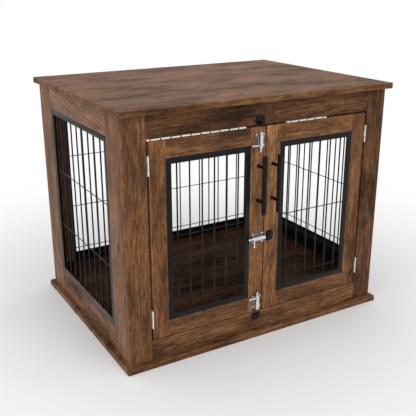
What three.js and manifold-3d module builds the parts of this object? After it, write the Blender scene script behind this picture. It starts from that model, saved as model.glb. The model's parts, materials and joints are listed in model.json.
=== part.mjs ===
// A dog crate end table: a timber cabinet with wire mesh walls and two framed mesh doors.
// The doors swing on butt hinges, and the lift frame behind them, which carries both, swings up
// on two lengths of piano hinge. Three barrel bolts on the left door lock the front.
//
// Millimetres, +Z up, the front faces -Y and +X is on the viewer's right.
// The origin is the middle of the base board's underside.

import * as THREE from 'three';
import { mergeVertices } from 'three/addons/utils/BufferGeometryUtils.js';
import Module from 'manifold-3d';

const wasm = await Module();
wasm.setup();

// ---- Driving dimensions -------------------------------------------------------------------

// Cabinet
const bodyWidth = 776;
const bodyDepth = 572;
const overallHeight = 648;
const boardThickness = 15;
const sideOverhang = 12;
const frontOverhang = 15;
const edgeChamfer = 1.2;
const postWidth = 61;
const frontTopRailHeight = 56;
const frontBottomRailHeight = 53;
const sideStileWidth = 73;
const backStileWidth = 59;
const wallTopRailHeight = 59;
const wallBottomRailHeight = 69;

// Doors
const seamGap = 3;
const doorBottomGap = 2.5;
const doorStileWidth = 43;
const doorTopRailHeight = 45;
const doorBottomRailHeight = 43;

// Lift frame, hidden behind the doors' stiles and rails
const liftFrameThickness = 15;
const liftSideBarWidth = 39;
const liftTopBarHeight = 38;
const liftBottomBarHeight = 32;
const liftBottomGap = 6;
const liftDoorClearance = 0.3;

// Mesh panels: an angle frame round welded wires. Rung heights are above the lower flange.
// The rungs of the doors run behind the uprights, and those of the walls run in front of them.
const angleFlangeWidth = 14.5;
const angleLegDepth = 12;
const angleThickness = 2;
const panelRecess = 1;
const panelClearance = 0.3;
const uprightWireDiameter = 4;
const rungWireDiameter = 2.5;
const wireDepth = 7;
const weldDepth = 0.3;
const wireEndSink = 1;
const uprightWireSides = 8;
const rungWireSides = 6;
const doorWires = { count: 6, endShare: 0.5, rungHeights: [20, 199], rungSide: -1 };
const rightWallWires = { count: 9, endShare: 1, rungHeights: [20, 199], rungSide: 1 };
const leftWallWires = { count: 8, endShare: 1, rungHeights: [141, 303], rungSide: 1 };
const backWallWires = { count: 16, endShare: 1, rungHeights: [14, 152, 310], rungSide: 1 };

// Hinges: rolled knuckles on a pin, standing just proud of the front faces
const leafThickness = 1;
const leafSpacing = 2;
const leafClearance = 1;
const barrelDiameter = 3.6;
const barrelClearance = 0.3;
const hingePinDiameter = 1.6;
const hingeBoreClearance = 0.35;
const barrelSides = 12;
const hingePinSides = 8;
const pianoKnucklePitch = 25.9;
const pianoKnuckleGap = 2.4;
const leafMargin = 1.5;
const leftPianoHinge = { length: 263.5, firstKnuckle: 8.5 };
const rightPianoHinge = { length: 125, firstKnuckle: 11 };
const leftPianoEndClearance = 0.5;
const rightPianoStart = 59;
const buttHingeLength = 46;
const buttKnuckleCount = 3;
const buttKnuckleGap = 0.8;
const upperButtHingeInset = 34;
const lowerButtHingeInset = 33.5;

// Bar handles
const handleOffset = 22;
const handleDrop = 143.5;
const handleLength = 150;
const handleDiameter = 12;
const handleEndRound = 1;
const handleStandoff = 29;
const handlePostDiameter = 8;
const handlePostSpacing = 90;
const handleSides = 16;
const handlePostSides = 12;

// Barrel bolts
const boltOffset = 20;
const boltAxisHeight = 5.5;
const boltDiameter = 6;
const boltLength = 52;
const boltThrow = 25;
const boltTipReach = 3;
const boltTipChamfer = 1;
const boltSides = 12;
const roundingPoints = 3;
const knobStemDiameter = 4.4;
const knobDiameter = 5.6;
const knobReach = 25.5;
const knobHeadLength = 7;
const knobLead = 6;
const housingLength = 38;
const housingBarrelDiameter = 12;
const housingBoreClearance = 0.35;
const housingSlotClearance = 0.6;
const housingPlateWidth = 30;
const housingPlateWaist = 23;
const housingEarLength = 10;
const hardwarePlateThickness = 1.2;
const plateCurveSegments = 6;
const cutOverrun = 5;
const topBoltInset = 14;
const middleBoltInset = 0.5;
const bottomBoltInset = 9.5;
const middleBoltShare = 0.421;

// Bolt keepers
const keeperWidth = 28;
const keeperLength = 23;
const keeperCornerRadius = 9;
const keeperInset = 1;
const middleKeeperInset = 4.5;
const hoopInset = 1.5;
const hoopWidth = 4.5;
const hoopThickness = 1.4;
const hoopClearance = 1.3;

// Pan-head screws
const screwHeadDiameter = 5;
const screwHeadHeight = 1.6;
const screwRimHeight = 0.55;
const screwCrownDiameter = 2.5;
const screwSink = 0.2;
const housingScrewEdge = 4.5;
const keeperScrewEdge = 4.5;
const keeperScrewLead = 12;
const screwSides = 8;

// ---- Places that follow from the driving dimensions ----------------------------------------

const halfWidth = bodyWidth / 2;
const front = -bodyDepth / 2;
const back = bodyDepth / 2;
const frontInner = front + boardThickness;
const backInner = back - boardThickness;
const floorTop = boardThickness;
const ceiling = overallHeight - boardThickness;
const openingHalfWidth = halfWidth - postWidth;
const openingTop = ceiling - frontTopRailHeight;
const openingBottom = floorTop + frontBottomRailHeight;

// Both leaves and the space between them fill the gap beside and above the doors.
const hingeGap = 2 * leafThickness + leafSpacing + leafClearance;
const hingeAxisY = front - barrelDiameter / 2 - barrelClearance;
const liftAxisZ = openingTop - leafThickness - leafSpacing / 2;

const doorEdge = openingHalfWidth - hingeGap;
const doorTop = openingTop - hingeGap;
const doorBottom = openingBottom + doorBottomGap;
const doorAxisX = doorEdge + leafThickness + leafSpacing / 2;
const doorWindow = {
  inner: seamGap / 2 + doorStileWidth,
  outer: doorEdge - doorStileWidth,
  bottom: doorBottom + doorBottomRailHeight,
  top: doorTop - doorTopRailHeight,
};

const topBoltZ = doorTop - topBoltInset;
const middleBoltX = -seamGap / 2 - middleBoltInset;
const middleBoltZ = doorBottom + middleBoltShare * (doorTop - doorBottom);
const bottomBoltZ = doorBottom + bottomBoltInset;

const liftFrame = {
  halfWidth: doorAxisX + leafSpacing / 2,
  front: frontInner + liftDoorClearance,
  back: frontInner + liftDoorClearance + liftFrameThickness,
  top: liftAxisZ - leafSpacing / 2 - leafThickness,
  bottom: openingBottom + liftBottomGap,
};

const sideWindowHalfWidth = -frontInner - sideStileWidth;
const wallWindowBottom = floorTop + wallBottomRailHeight;
const wallWindowTop = ceiling - wallTopRailHeight;
const backWindowHalfWidth = halfWidth - backStileWidth;

// ---- Solids --------------------------------------------------------------------------------

function toSolid(geometry) {
  const bare = geometry.clone();
  bare.deleteAttribute('normal');
  bare.deleteAttribute('uv');
  const welded = mergeVertices(bare);
  return new wasm.Manifold(new wasm.Mesh({
    numProp: 3,
    vertProperties: welded.attributes.position.array,
    triVerts: new Uint32Array(welded.index.array),
  }));
}

function toGeometry(solid) {
  const mesh = solid.getMesh();
  const geometry = new THREE.BufferGeometry();
  geometry.setAttribute('position', new THREE.BufferAttribute(mesh.vertProperties, 3));
  geometry.setIndex(new THREE.BufferAttribute(mesh.triVerts, 1));
  geometry.computeVertexNormals();
  return geometry;
}

function join(geometries) {
  return toGeometry(geometries.map(toSolid).reduce((whole, piece) => whole.add(piece)));
}

function cut(geometry, tools) {
  return toGeometry(tools.map(toSolid).reduce((rest, tool) => rest.subtract(tool), toSolid(geometry)));
}

// ---- Materials -----------------------------------------------------------------------------

const timber = () => new THREE.MeshStandardMaterial({ color: 0x6d4b33, roughness: 0.75, metalness: 0 });
const hiddenTimber = () => new THREE.MeshStandardMaterial({ color: 0x4b3323, roughness: 0.8, metalness: 0 });
const blackSteel = () => new THREE.MeshStandardMaterial({ color: 0x26292b, roughness: 0.5, metalness: 0.5 });
const whiteZinc = () => new THREE.MeshStandardMaterial({ color: 0xd9dadb, roughness: 0.4, metalness: 0.8 });
const brightSteel = () => new THREE.MeshStandardMaterial({ color: 0xc4c7ca, roughness: 0.3, metalness: 1 });

// ---- Placing -------------------------------------------------------------------------------

function named(name, geometry, material) {
  const mesh = new THREE.Mesh(geometry, material);
  mesh.name = name;
  return mesh;
}

// Turns a piece drawn flat, x right and y up, so that it stands on a wall with z facing out.
function onWall(mesh, x, y, z) {
  mesh.rotation.x = Math.PI / 2;
  mesh.position.set(x, y, z);
  return mesh;
}

// The span from near to far of the middle plane, on the side given by its sign.
function sideSpan(side, near, far) {
  return side < 0 ? [-far, -near] : [near, far];
}

// ---- Timber boards -------------------------------------------------------------------------

// A board with all its edges chamfered, given by its span along each axis.
function board(name, [left, right], [near, far], [low, high], material = timber) {
  const halfX = (right - left) / 2;
  const halfY = (far - near) / 2;
  const depth = high - low - 2 * edgeChamfer;
  const outline = new THREE.Shape([
    new THREE.Vector2(-halfX + edgeChamfer, -halfY),
    new THREE.Vector2(halfX - edgeChamfer, -halfY),
    new THREE.Vector2(halfX, -halfY + edgeChamfer),
    new THREE.Vector2(halfX, halfY - edgeChamfer),
    new THREE.Vector2(halfX - edgeChamfer, halfY),
    new THREE.Vector2(-halfX + edgeChamfer, halfY),
    new THREE.Vector2(-halfX, halfY - edgeChamfer),
    new THREE.Vector2(-halfX, -halfY + edgeChamfer),
  ]);
  const geometry = new THREE.ExtrudeGeometry(outline, {
    depth,
    bevelThickness: edgeChamfer,
    bevelSize: edgeChamfer,
    bevelOffset: -edgeChamfer,
    bevelSegments: 1,
  });
  geometry.translate(0, 0, -depth / 2);
  const mesh = named(name, geometry, material());
  mesh.position.set((left + right) / 2, (near + far) / 2, (low + high) / 2);
  return mesh;
}

function slabs() {
  const width = [-halfWidth - sideOverhang, halfWidth + sideOverhang];
  const depth = [front - frontOverhang, back + frontOverhang];
  return [
    board('top_board', width, depth, [ceiling, overallHeight]),
    board('base_board', width, depth, [0, floorTop]),
  ];
}

function frontFrame() {
  const thickness = [front, frontInner];
  const between = [-openingHalfWidth, openingHalfWidth];
  const leftPost = sideSpan(-1, openingHalfWidth, halfWidth);
  const rightPost = sideSpan(1, openingHalfWidth, halfWidth);
  return [
    board('front_left_post', leftPost, thickness, [floorTop, ceiling]),
    board('front_right_post', rightPost, thickness, [floorTop, ceiling]),
    board('front_top_rail', between, thickness, [openingTop, ceiling]),
    board('front_bottom_rail', between, thickness, [floorTop, openingBottom]),
  ];
}

function sideFrame(label, side, windowBottom, windowTop) {
  const thickness = sideSpan(side, halfWidth - boardThickness, halfWidth);
  const between = [-sideWindowHalfWidth, sideWindowHalfWidth];
  const frontStile = [frontInner, -sideWindowHalfWidth];
  const backStile = [sideWindowHalfWidth, backInner];
  return [
    board(`${label}_front_stile`, thickness, frontStile, [floorTop, ceiling]),
    board(`${label}_back_stile`, thickness, backStile, [floorTop, ceiling]),
    board(`${label}_top_rail`, thickness, between, [windowTop, ceiling]),
    board(`${label}_bottom_rail`, thickness, between, [floorTop, windowBottom]),
  ];
}

function backFrame() {
  const thickness = [backInner, back];
  const between = [-backWindowHalfWidth, backWindowHalfWidth];
  const leftStile = sideSpan(-1, backWindowHalfWidth, halfWidth);
  const rightStile = sideSpan(1, backWindowHalfWidth, halfWidth);
  return [
    board('back_left_stile', leftStile, thickness, [floorTop, ceiling]),
    board('back_right_stile', rightStile, thickness, [floorTop, ceiling]),
    board('back_top_rail', between, thickness, [wallWindowTop, ceiling]),
    board('back_bottom_rail', between, thickness, [floorTop, wallWindowBottom]),
  ];
}

function liftFrameBars() {
  const { halfWidth: outer, front: near, back: far, top, bottom } = liftFrame;
  const lowerBarTop = bottom + liftBottomBarHeight;
  const upperBarBottom = top - liftTopBarHeight;
  const inner = outer - liftSideBarWidth;
  const upright = [lowerBarTop, upperBarBottom];
  return [
    board('lift_frame_top_bar', [-outer, outer], [near, far], [upperBarBottom, top], hiddenTimber),
    board('lift_frame_bottom_bar', [-outer, outer], [near, far], [bottom, lowerBarTop], hiddenTimber),
    board('lift_frame_left_bar', sideSpan(-1, inner, outer), [near, far], upright, hiddenTimber),
    board('lift_frame_right_bar', sideSpan(1, inner, outer), [near, far], upright, hiddenTimber),
  ];
}

function doorFrame(label, side) {
  const thickness = [front, frontInner];
  const height = [doorBottom, doorTop];
  const { inner, outer, bottom, top } = doorWindow;
  return [
    board(`${label}_hinge_stile`, sideSpan(side, outer, doorEdge), thickness, height),
    board(`${label}_meeting_stile`, sideSpan(side, seamGap / 2, inner), thickness, height),
    board(`${label}_top_rail`, sideSpan(side, inner, outer), thickness, [top, doorTop]),
    board(`${label}_bottom_rail`, sideSpan(side, inner, outer), thickness, [doorBottom, bottom]),
  ];
}

// ---- Mesh panels ---------------------------------------------------------------------------

// A rectangular ring with its outer half sizes and its band, from one depth back to another.
function ring(halfX, halfY, band, from, to) {
  const outline = new THREE.Shape([
    new THREE.Vector2(-halfX, -halfY),
    new THREE.Vector2(halfX, -halfY),
    new THREE.Vector2(halfX, halfY),
    new THREE.Vector2(-halfX, halfY),
  ]);
  outline.holes.push(new THREE.Path([
    new THREE.Vector2(-halfX + band, -halfY + band),
    new THREE.Vector2(-halfX + band, halfY - band),
    new THREE.Vector2(halfX - band, halfY - band),
    new THREE.Vector2(halfX - band, -halfY + band),
  ]));
  const geometry = new THREE.ExtrudeGeometry(outline, { depth: from - to, bevelEnabled: false });
  geometry.translate(0, 0, to);
  return geometry;
}

function angleFrame(halfX, halfY) {
  return join([
    ring(halfX, halfY, angleFlangeWidth, 0, -angleThickness),
    ring(halfX, halfY, angleThickness, 0, -angleLegDepth),
  ]);
}

function uprightWires(halfX, halfY, { count, endShare }) {
  const radius = uprightWireDiameter / 2;
  const length = 2 * (halfY - angleThickness + wireEndSink);
  const pitch = 2 * (halfX - angleFlangeWidth) / (count - 1 + 2 * endShare);
  return Array.from({ length: count }, (_, index) => {
    const wire = new THREE.CylinderGeometry(radius, radius, length, uprightWireSides);
    return wire.translate((index - (count - 1) / 2) * pitch, 0, -wireDepth);
  });
}

// The rungs cross the uprights on one side and bite into them a little where they are welded.
function rungWires(halfX, halfY, { rungHeights, rungSide }) {
  const radius = rungWireDiameter / 2;
  const length = 2 * (halfX - angleThickness + wireEndSink);
  const spacing = (uprightWireDiameter + rungWireDiameter) / 2 - weldDepth;
  const z = rungSide * spacing - wireDepth;
  return rungHeights.map((height) => {
    const wire = new THREE.CylinderGeometry(radius, radius, length, rungWireSides);
    return wire.rotateZ(Math.PI / 2).translate(0, height + angleFlangeWidth - halfY, z);
  });
}

function meshPanel(name, windowWidth, windowHeight, wires) {
  const halfX = windowWidth / 2 - panelClearance;
  const halfY = windowHeight / 2 - panelClearance;
  const geometry = join([
    angleFrame(halfX, halfY),
    ...uprightWires(halfX, halfY, wires),
    ...rungWires(halfX, halfY, wires),
  ]);
  return named(name, geometry, blackSteel());
}

function wallPanel(name, turn, distance, windowWidth, [bottom, top], wires) {
  const wall = new THREE.Group();
  wall.rotation.z = turn;
  const panel = meshPanel(name, windowWidth, top - bottom, wires);
  wall.add(onWall(panel, 0, -distance + panelRecess, (bottom + top) / 2));
  return wall;
}

function wallPanels() {
  const tall = [wallWindowBottom, wallWindowTop];
  const short = [doorWindow.bottom, doorWindow.top];
  const sideWidth = 2 * sideWindowHalfWidth;
  const backWidth = 2 * backWindowHalfWidth;
  return [
    wallPanel('left_mesh_panel', -Math.PI / 2, halfWidth, sideWidth, tall, leftWallWires),
    wallPanel('right_mesh_panel', Math.PI / 2, halfWidth, sideWidth, short, rightWallWires),
    wallPanel('back_mesh_panel', Math.PI, back, backWidth, tall, backWallWires),
  ];
}

function doorPanel(label, side) {
  const { inner, outer, bottom, top } = doorWindow;
  const panel = meshPanel(`${label}_mesh_panel`, outer - inner, top - bottom, doorWires);
  return onWall(panel, side * (inner + outer) / 2, front + panelRecess, (bottom + top) / 2);
}

// ---- Hinges --------------------------------------------------------------------------------

// Knuckle spans along a barrel of the given length: a first one, then one for each pitch.
function knuckleSpans(length, first, pitch, gap) {
  const ends = [];
  for (let end = first; end < length - 2 * gap; end += pitch) ends.push(end);
  ends.push(length);
  return ends.map((end, index) => {
    const start = index === 0 ? 0 : ends[index - 1] + gap / 2;
    return [start, index === ends.length - 1 ? end : end - gap / 2];
  });
}

function barrel(radius, [start, end], sides) {
  const geometry = new THREE.CylinderGeometry(radius, radius, end - start, sides);
  return geometry.translate(0, (start + end) / 2, 0);
}

// A flat of leaf metal on one side of the axis plane, reaching back from one depth to another.
function leafFlat(side, [start, end], from, to) {
  const geometry = new THREE.BoxGeometry(leafThickness, end - start, to - from);
  const offset = side * (leafSpacing + leafThickness) / 2;
  return geometry.translate(offset, (start + end) / 2, -(from + to) / 2);
}

// One leaf with its own knuckles, the axis along y and the leaf reaching back along -z.
function leafWithKnuckles(side, length, spans, reach) {
  const radius = barrelDiameter / 2;
  const leafStart = radius + barrelClearance;
  const knuckles = spans.flatMap((span) => [
    barrel(radius, span, barrelSides),
    leafFlat(side, span, 0, leafStart + leafThickness),
  ]);
  return [leafFlat(side, [0, length], leafStart, reach), ...knuckles];
}

// The leaf that the pin is pressed into.
function pinnedLeaf(side, length, spans, reach) {
  const pin = barrel(hingePinDiameter / 2, [0, length], hingePinSides);
  return join([...leafWithKnuckles(side, length, spans, reach), pin]);
}

// The leaf whose knuckles turn on the pin.
function turningLeaf(side, length, spans, reach) {
  const radius = hingePinDiameter / 2 + hingeBoreClearance;
  const bore = barrel(radius, [-cutOverrun, length + cutOverrun], hingePinSides);
  return cut(join(leafWithKnuckles(side, length, spans, reach)), [bore]);
}

function pianoKnuckles({ length, firstKnuckle }) {
  return knuckleSpans(length, firstKnuckle, pianoKnucklePitch, pianoKnuckleGap);
}

function alternate(spans, remainder) {
  return spans.filter((_, index) => index % 2 === remainder);
}

// Lays a piece whose axis is along y down along the cabinet's width, over the doors.
function alongLiftAxis(mesh, start) {
  const lying = new THREE.Group();
  lying.rotation.y = Math.PI / 2;
  lying.position.set(start, hingeAxisY, liftAxisZ);
  mesh.rotation.x = Math.PI / 2;
  lying.add(mesh);
  return lying;
}

function pianoHingePlaces() {
  return [
    { label: 'left', hinge: leftPianoHinge, start: -openingHalfWidth + leftPianoEndClearance },
    { label: 'right', hinge: rightPianoHinge, start: rightPianoStart },
  ];
}

function pianoFixedLeaves() {
  const reach = frontInner - hingeAxisY - leafMargin;
  return pianoHingePlaces().map(({ label, hinge, start }) => {
    const own = alternate(pianoKnuckles(hinge), 0);
    const geometry = pinnedLeaf(-1, hinge.length, own, reach);
    return alongLiftAxis(named(`piano_hinge_${label}_fixed_leaf`, geometry, whiteZinc()), start);
  });
}

function pianoMovingLeaves() {
  const reach = liftFrame.back - hingeAxisY - leafMargin;
  return pianoHingePlaces().map(({ label, hinge, start }) => {
    const own = alternate(pianoKnuckles(hinge), 1);
    const geometry = turningLeaf(1, hinge.length, own, reach);
    return alongLiftAxis(named(`piano_hinge_${label}_moving_leaf`, geometry, whiteZinc()), start);
  });
}

// The upper and lower hinge of each door, from the barrel's lower end.
function buttHingePlaces() {
  return [
    { level: 'upper', z: doorTop - upperButtHingeInset - buttHingeLength },
    { level: 'lower', z: doorBottom + lowerButtHingeInset },
  ];
}

function buttKnuckles(remainder) {
  const pitch = buttHingeLength / buttKnuckleCount;
  return alternate(knuckleSpans(buttHingeLength, pitch, pitch, buttKnuckleGap), remainder);
}

function buttFrameLeaves(label, side) {
  const reach = liftFrame.back - hingeAxisY - leafMargin;
  return buttHingePlaces().map(({ level, z }) => {
    const geometry = pinnedLeaf(side, buttHingeLength, buttKnuckles(0), reach);
    const mesh = named(`${label}_${level}_hinge_frame_leaf`, geometry, whiteZinc());
    return onWall(mesh, side * doorAxisX, hingeAxisY, z);
  });
}

function buttDoorLeaves(label, side) {
  const reach = frontInner - hingeAxisY - leafMargin;
  return buttHingePlaces().map(({ level, z }) => {
    const geometry = turningLeaf(-side, buttHingeLength, buttKnuckles(1), reach);
    const mesh = named(`${label}_${level}_hinge_door_leaf`, geometry, whiteZinc());
    return onWall(mesh, side * doorAxisX, hingeAxisY, z);
  });
}

// ---- Handles -------------------------------------------------------------------------------

function handle(label, side) {
  const radius = handleDiameter / 2;
  const end = handleLength / 2;
  const round = new THREE.Path();
  round.moveTo(0, -end);
  round.lineTo(radius - handleEndRound, -end);
  round.absarc(radius - handleEndRound, -end + handleEndRound, handleEndRound, -Math.PI / 2, 0);
  round.absarc(radius - handleEndRound, end - handleEndRound, handleEndRound, 0, Math.PI / 2);
  round.lineTo(0, end);
  const bar = new THREE.LatheGeometry(round.getPoints(roundingPoints), handleSides);
  bar.translate(0, 0, handleStandoff);
  const stem = handlePostDiameter / 2;
  const posts = [-1, 1].map((way) => {
    const post = new THREE.CylinderGeometry(stem, stem, handleStandoff, handlePostSides);
    return post.rotateX(Math.PI / 2).translate(0, way * handlePostSpacing / 2, handleStandoff / 2);
  });
  const mesh = named(`${label}_handle`, join([bar, ...posts]), blackSteel());
  return onWall(mesh, side * handleOffset, front, doorTop - handleDrop);
}

// ---- Screws --------------------------------------------------------------------------------

function screwHead(x, y) {
  const radius = screwHeadDiameter / 2;
  const dome = new THREE.LatheGeometry([
    new THREE.Vector2(0, -screwSink),
    new THREE.Vector2(radius, -screwSink),
    new THREE.Vector2(radius, screwRimHeight),
    new THREE.Vector2(screwCrownDiameter / 2, screwHeadHeight),
    new THREE.Vector2(0, screwHeadHeight),
  ], screwSides);
  return dome.rotateX(Math.PI / 2).translate(x, y, hardwarePlateThickness);
}

function housingScrews() {
  const across = housingPlateWidth / 2 - housingScrewEdge;
  const along = [-housingScrewEdge, housingScrewEdge - housingLength];
  return [-across, across].flatMap((x) => along.map((y) => screwHead(x, y)));
}

function keeperScrews() {
  const across = keeperWidth / 2 - keeperScrewEdge;
  return [-across, across].map((x) => screwHead(x, keeperScrewLead));
}

// ---- Barrel bolts --------------------------------------------------------------------------

// Each bolt is drawn with y as the way it is thrown and z facing out of the door, from the
// middle of its housing's leading end. The knob points to +x or -x.
const boltPlaces = [
  { label: 'top', turn: 0, knobSide: -1, x: -boltOffset, z: topBoltZ },
  { label: 'middle', turn: -Math.PI / 2, knobSide: 1, x: middleBoltX, z: middleBoltZ },
  { label: 'bottom', turn: Math.PI, knobSide: 1, x: -boltOffset, z: bottomBoltZ },
];

// Turns a piece of a bolt in the plane of the door and puts its origin at x, z.
function onFront(mesh, turn, x, z) {
  const place = new THREE.Group();
  place.rotation.x = Math.PI / 2;
  place.position.set(x, front, z);
  mesh.rotation.z = turn;
  place.add(mesh);
  return place;
}

// An arch with straight legs down to the mounting face, extruded along y.
function arch(radius, length) {
  const outline = new THREE.Shape();
  outline.moveTo(-radius, 0);
  outline.lineTo(radius, 0);
  outline.lineTo(radius, boltAxisHeight);
  outline.absarc(0, boltAxisHeight, radius, 0, Math.PI);
  outline.closePath();
  const geometry = new THREE.ExtrudeGeometry(outline, {
    depth: length,
    bevelEnabled: false,
    curveSegments: boltSides / 2,
  });
  return geometry.rotateX(Math.PI / 2);
}

function hardwarePlate(outline) {
  return new THREE.ExtrudeGeometry(outline, {
    depth: hardwarePlateThickness,
    bevelEnabled: false,
    curveSegments: plateCurveSegments,
  });
}

// The housing's plate, drawn in at its waist.
function earedPlate(length) {
  const ear = housingPlateWidth / 2;
  const waistControl = housingPlateWaist - ear;
  const earEnd = length - housingEarLength;
  const outline = new THREE.Shape();
  outline.moveTo(-ear, -length);
  outline.lineTo(ear, -length);
  outline.lineTo(ear, -earEnd);
  outline.quadraticCurveTo(waistControl, -length / 2, ear, -housingEarLength);
  outline.lineTo(ear, 0);
  outline.lineTo(-ear, 0);
  outline.lineTo(-ear, -housingEarLength);
  outline.quadraticCurveTo(-waistControl, -length / 2, -ear, -earEnd);
  outline.closePath();
  return hardwarePlate(outline);
}

function boltHousing({ label, turn, knobSide, x, z }) {
  const boreRadius = boltDiameter / 2 + housingBoreClearance;
  const boreLength = housingLength + 2 * cutOverrun;
  const bore = new THREE.CylinderGeometry(boreRadius, boreRadius, boreLength, boltSides);
  bore.translate(0, -housingLength / 2, boltAxisHeight);
  const slotWidth = knobStemDiameter + 2 * housingSlotClearance;
  const slot = new THREE.BoxGeometry(housingBarrelDiameter, boltThrow + slotWidth, slotWidth);
  const slotCentre = -knobLead - boltThrow / 2;
  slot.translate(knobSide * housingBarrelDiameter / 2, slotCentre, boltAxisHeight);
  const body = join([
    arch(housingBarrelDiameter / 2, housingLength),
    earedPlate(housingLength),
    ...housingScrews(),
  ]);
  const mesh = named(`${label}_bolt_housing`, cut(body, [bore, slot]), brightSteel());
  return onFront(mesh, turn, x, z);
}

// The rod is drawn back, with its knob at the trailing end of the slot.
function bolt({ label, turn, knobSide, x, z }) {
  const radius = boltDiameter / 2;
  const rod = new THREE.LatheGeometry([
    new THREE.Vector2(0, boltTipReach - boltLength),
    new THREE.Vector2(radius - boltTipChamfer, boltTipReach - boltLength),
    new THREE.Vector2(radius, boltTipReach - boltLength + boltTipChamfer),
    new THREE.Vector2(radius, boltTipReach - boltTipChamfer),
    new THREE.Vector2(radius - boltTipChamfer, boltTipReach),
    new THREE.Vector2(0, boltTipReach),
  ], boltSides);
  const stem = knobStemDiameter / 2;
  const head = knobDiameter / 2;
  const headStart = knobReach - knobHeadLength;
  const knobProfile = new THREE.Path();
  knobProfile.moveTo(0, 0);
  knobProfile.lineTo(stem, 0);
  knobProfile.lineTo(stem, headStart);
  knobProfile.lineTo(head, headStart + head - stem);
  knobProfile.absarc(0, knobReach - head, head, 0, Math.PI / 2);
  const knob = new THREE.LatheGeometry(knobProfile.getPoints(roundingPoints), boltSides);
  knob.rotateZ(-knobSide * Math.PI / 2).translate(0, -knobLead - boltThrow, 0);
  const geometry = join([rod, knob]).translate(0, 0, boltAxisHeight);
  return onFront(named(`${label}_bolt`, geometry, brightSteel()), turn, x, z);
}

// ---- Bolt keepers --------------------------------------------------------------------------

// Each keeper is drawn from the middle of the edge that faces its bolt, y as the bolt's throw.
const keeperPlaces = {
  top: { turn: 0, x: -boltOffset, z: openingTop + keeperInset },
  middle: { turn: -Math.PI / 2, x: seamGap / 2 + middleKeeperInset, z: middleBoltZ },
  bottom: { turn: Math.PI, x: -boltOffset, z: openingBottom - keeperInset },
};

function keeperPlate() {
  const half = keeperWidth / 2;
  const radius = keeperCornerRadius;
  const outline = new THREE.Shape();
  outline.moveTo(-half, 0);
  outline.lineTo(half, 0);
  outline.absarc(half - radius, keeperLength - radius, radius, 0, Math.PI / 2);
  outline.absarc(-half + radius, keeperLength - radius, radius, Math.PI / 2, Math.PI);
  outline.closePath();
  return hardwarePlate(outline);
}

// The band over the rod, open along the throw.
function hoop() {
  const innerRadius = boltDiameter / 2 + hoopClearance;
  const band = arch(innerRadius + hoopThickness, hoopWidth);
  const way = arch(innerRadius, hoopWidth + 2 * cutOverrun).translate(0, cutOverrun, 0);
  return cut(band, [way]).translate(0, hoopInset + hoopWidth, 0);
}

function keeper(name, { turn, x, z }) {
  const geometry = join([keeperPlate(), hoop(), ...keeperScrews()]);
  return onFront(named(name, geometry, blackSteel()), turn, x, z);
}

// ---- Assembly ------------------------------------------------------------------------------

function cabinet() {
  const group = new THREE.Group();
  group.add(
    ...slabs(),
    ...frontFrame(),
    ...sideFrame('left', -1, wallWindowBottom, wallWindowTop),
    ...sideFrame('right', 1, doorWindow.bottom, doorWindow.top),
    ...backFrame(),
    ...wallPanels(),
    ...pianoFixedLeaves(),
    keeper('top_bolt_keeper', keeperPlaces.top),
    keeper('bottom_bolt_keeper', keeperPlaces.bottom),
  );
  return group;
}

function liftingFrame() {
  const group = new THREE.Group();
  group.add(
    ...liftFrameBars(),
    ...pianoMovingLeaves(),
    ...buttFrameLeaves('left', -1),
    ...buttFrameLeaves('right', 1),
  );
  return group;
}

function door(label, side) {
  const group = new THREE.Group();
  group.add(
    ...doorFrame(`${label}_door`, side),
    doorPanel(`${label}_door`, side),
    handle(`${label}_door`, side),
    ...buttDoorLeaves(label, side),
  );
  return group;
}

function crate() {
  const leftDoor = door('left', -1);
  leftDoor.add(...boltPlaces.map(boltHousing), ...boltPlaces.map(bolt));
  const rightDoor = door('right', 1);
  rightDoor.add(keeper('middle_bolt_keeper', keeperPlaces.middle));
  const group = new THREE.Group();
  group.add(cabinet(), liftingFrame(), leftDoor, rightDoor);
  return group;
}

export default crate();
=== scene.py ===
"""Dresses the dog crate end table: rustic timber, wire panels, hinges, handles and bolts."""

import json
import math

import bmesh
import bpy
from mathutils import Matrix, Vector

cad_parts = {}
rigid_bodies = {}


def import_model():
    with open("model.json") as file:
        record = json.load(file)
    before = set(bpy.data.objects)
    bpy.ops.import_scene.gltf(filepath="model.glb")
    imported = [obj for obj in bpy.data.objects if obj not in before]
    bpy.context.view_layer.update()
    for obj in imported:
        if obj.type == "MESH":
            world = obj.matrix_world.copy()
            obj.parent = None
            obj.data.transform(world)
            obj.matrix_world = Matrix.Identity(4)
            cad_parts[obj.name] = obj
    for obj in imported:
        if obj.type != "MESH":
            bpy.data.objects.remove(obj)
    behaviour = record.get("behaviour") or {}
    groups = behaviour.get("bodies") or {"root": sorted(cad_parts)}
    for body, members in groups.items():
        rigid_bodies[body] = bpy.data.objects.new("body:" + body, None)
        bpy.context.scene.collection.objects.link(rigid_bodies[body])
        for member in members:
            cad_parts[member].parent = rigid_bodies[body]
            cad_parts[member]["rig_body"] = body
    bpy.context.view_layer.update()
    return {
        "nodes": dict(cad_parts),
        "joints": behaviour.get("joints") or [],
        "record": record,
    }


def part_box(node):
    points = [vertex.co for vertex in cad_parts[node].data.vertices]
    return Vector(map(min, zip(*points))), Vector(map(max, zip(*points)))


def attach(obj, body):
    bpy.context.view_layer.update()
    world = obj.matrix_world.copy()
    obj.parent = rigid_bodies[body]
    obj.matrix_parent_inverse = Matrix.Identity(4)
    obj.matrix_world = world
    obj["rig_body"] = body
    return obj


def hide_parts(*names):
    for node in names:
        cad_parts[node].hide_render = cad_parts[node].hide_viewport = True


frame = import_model()

bl_info = {
    "name": "Dog Crate End Table",
    "version": (1, 0, 0),
    "blender": (4, 5, 0),
    "location": "View3D > Sidebar > Crate",
    "description": "Builds the finishes and fine pieces of a dog crate end table",
    "category": "Object",
}

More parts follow.
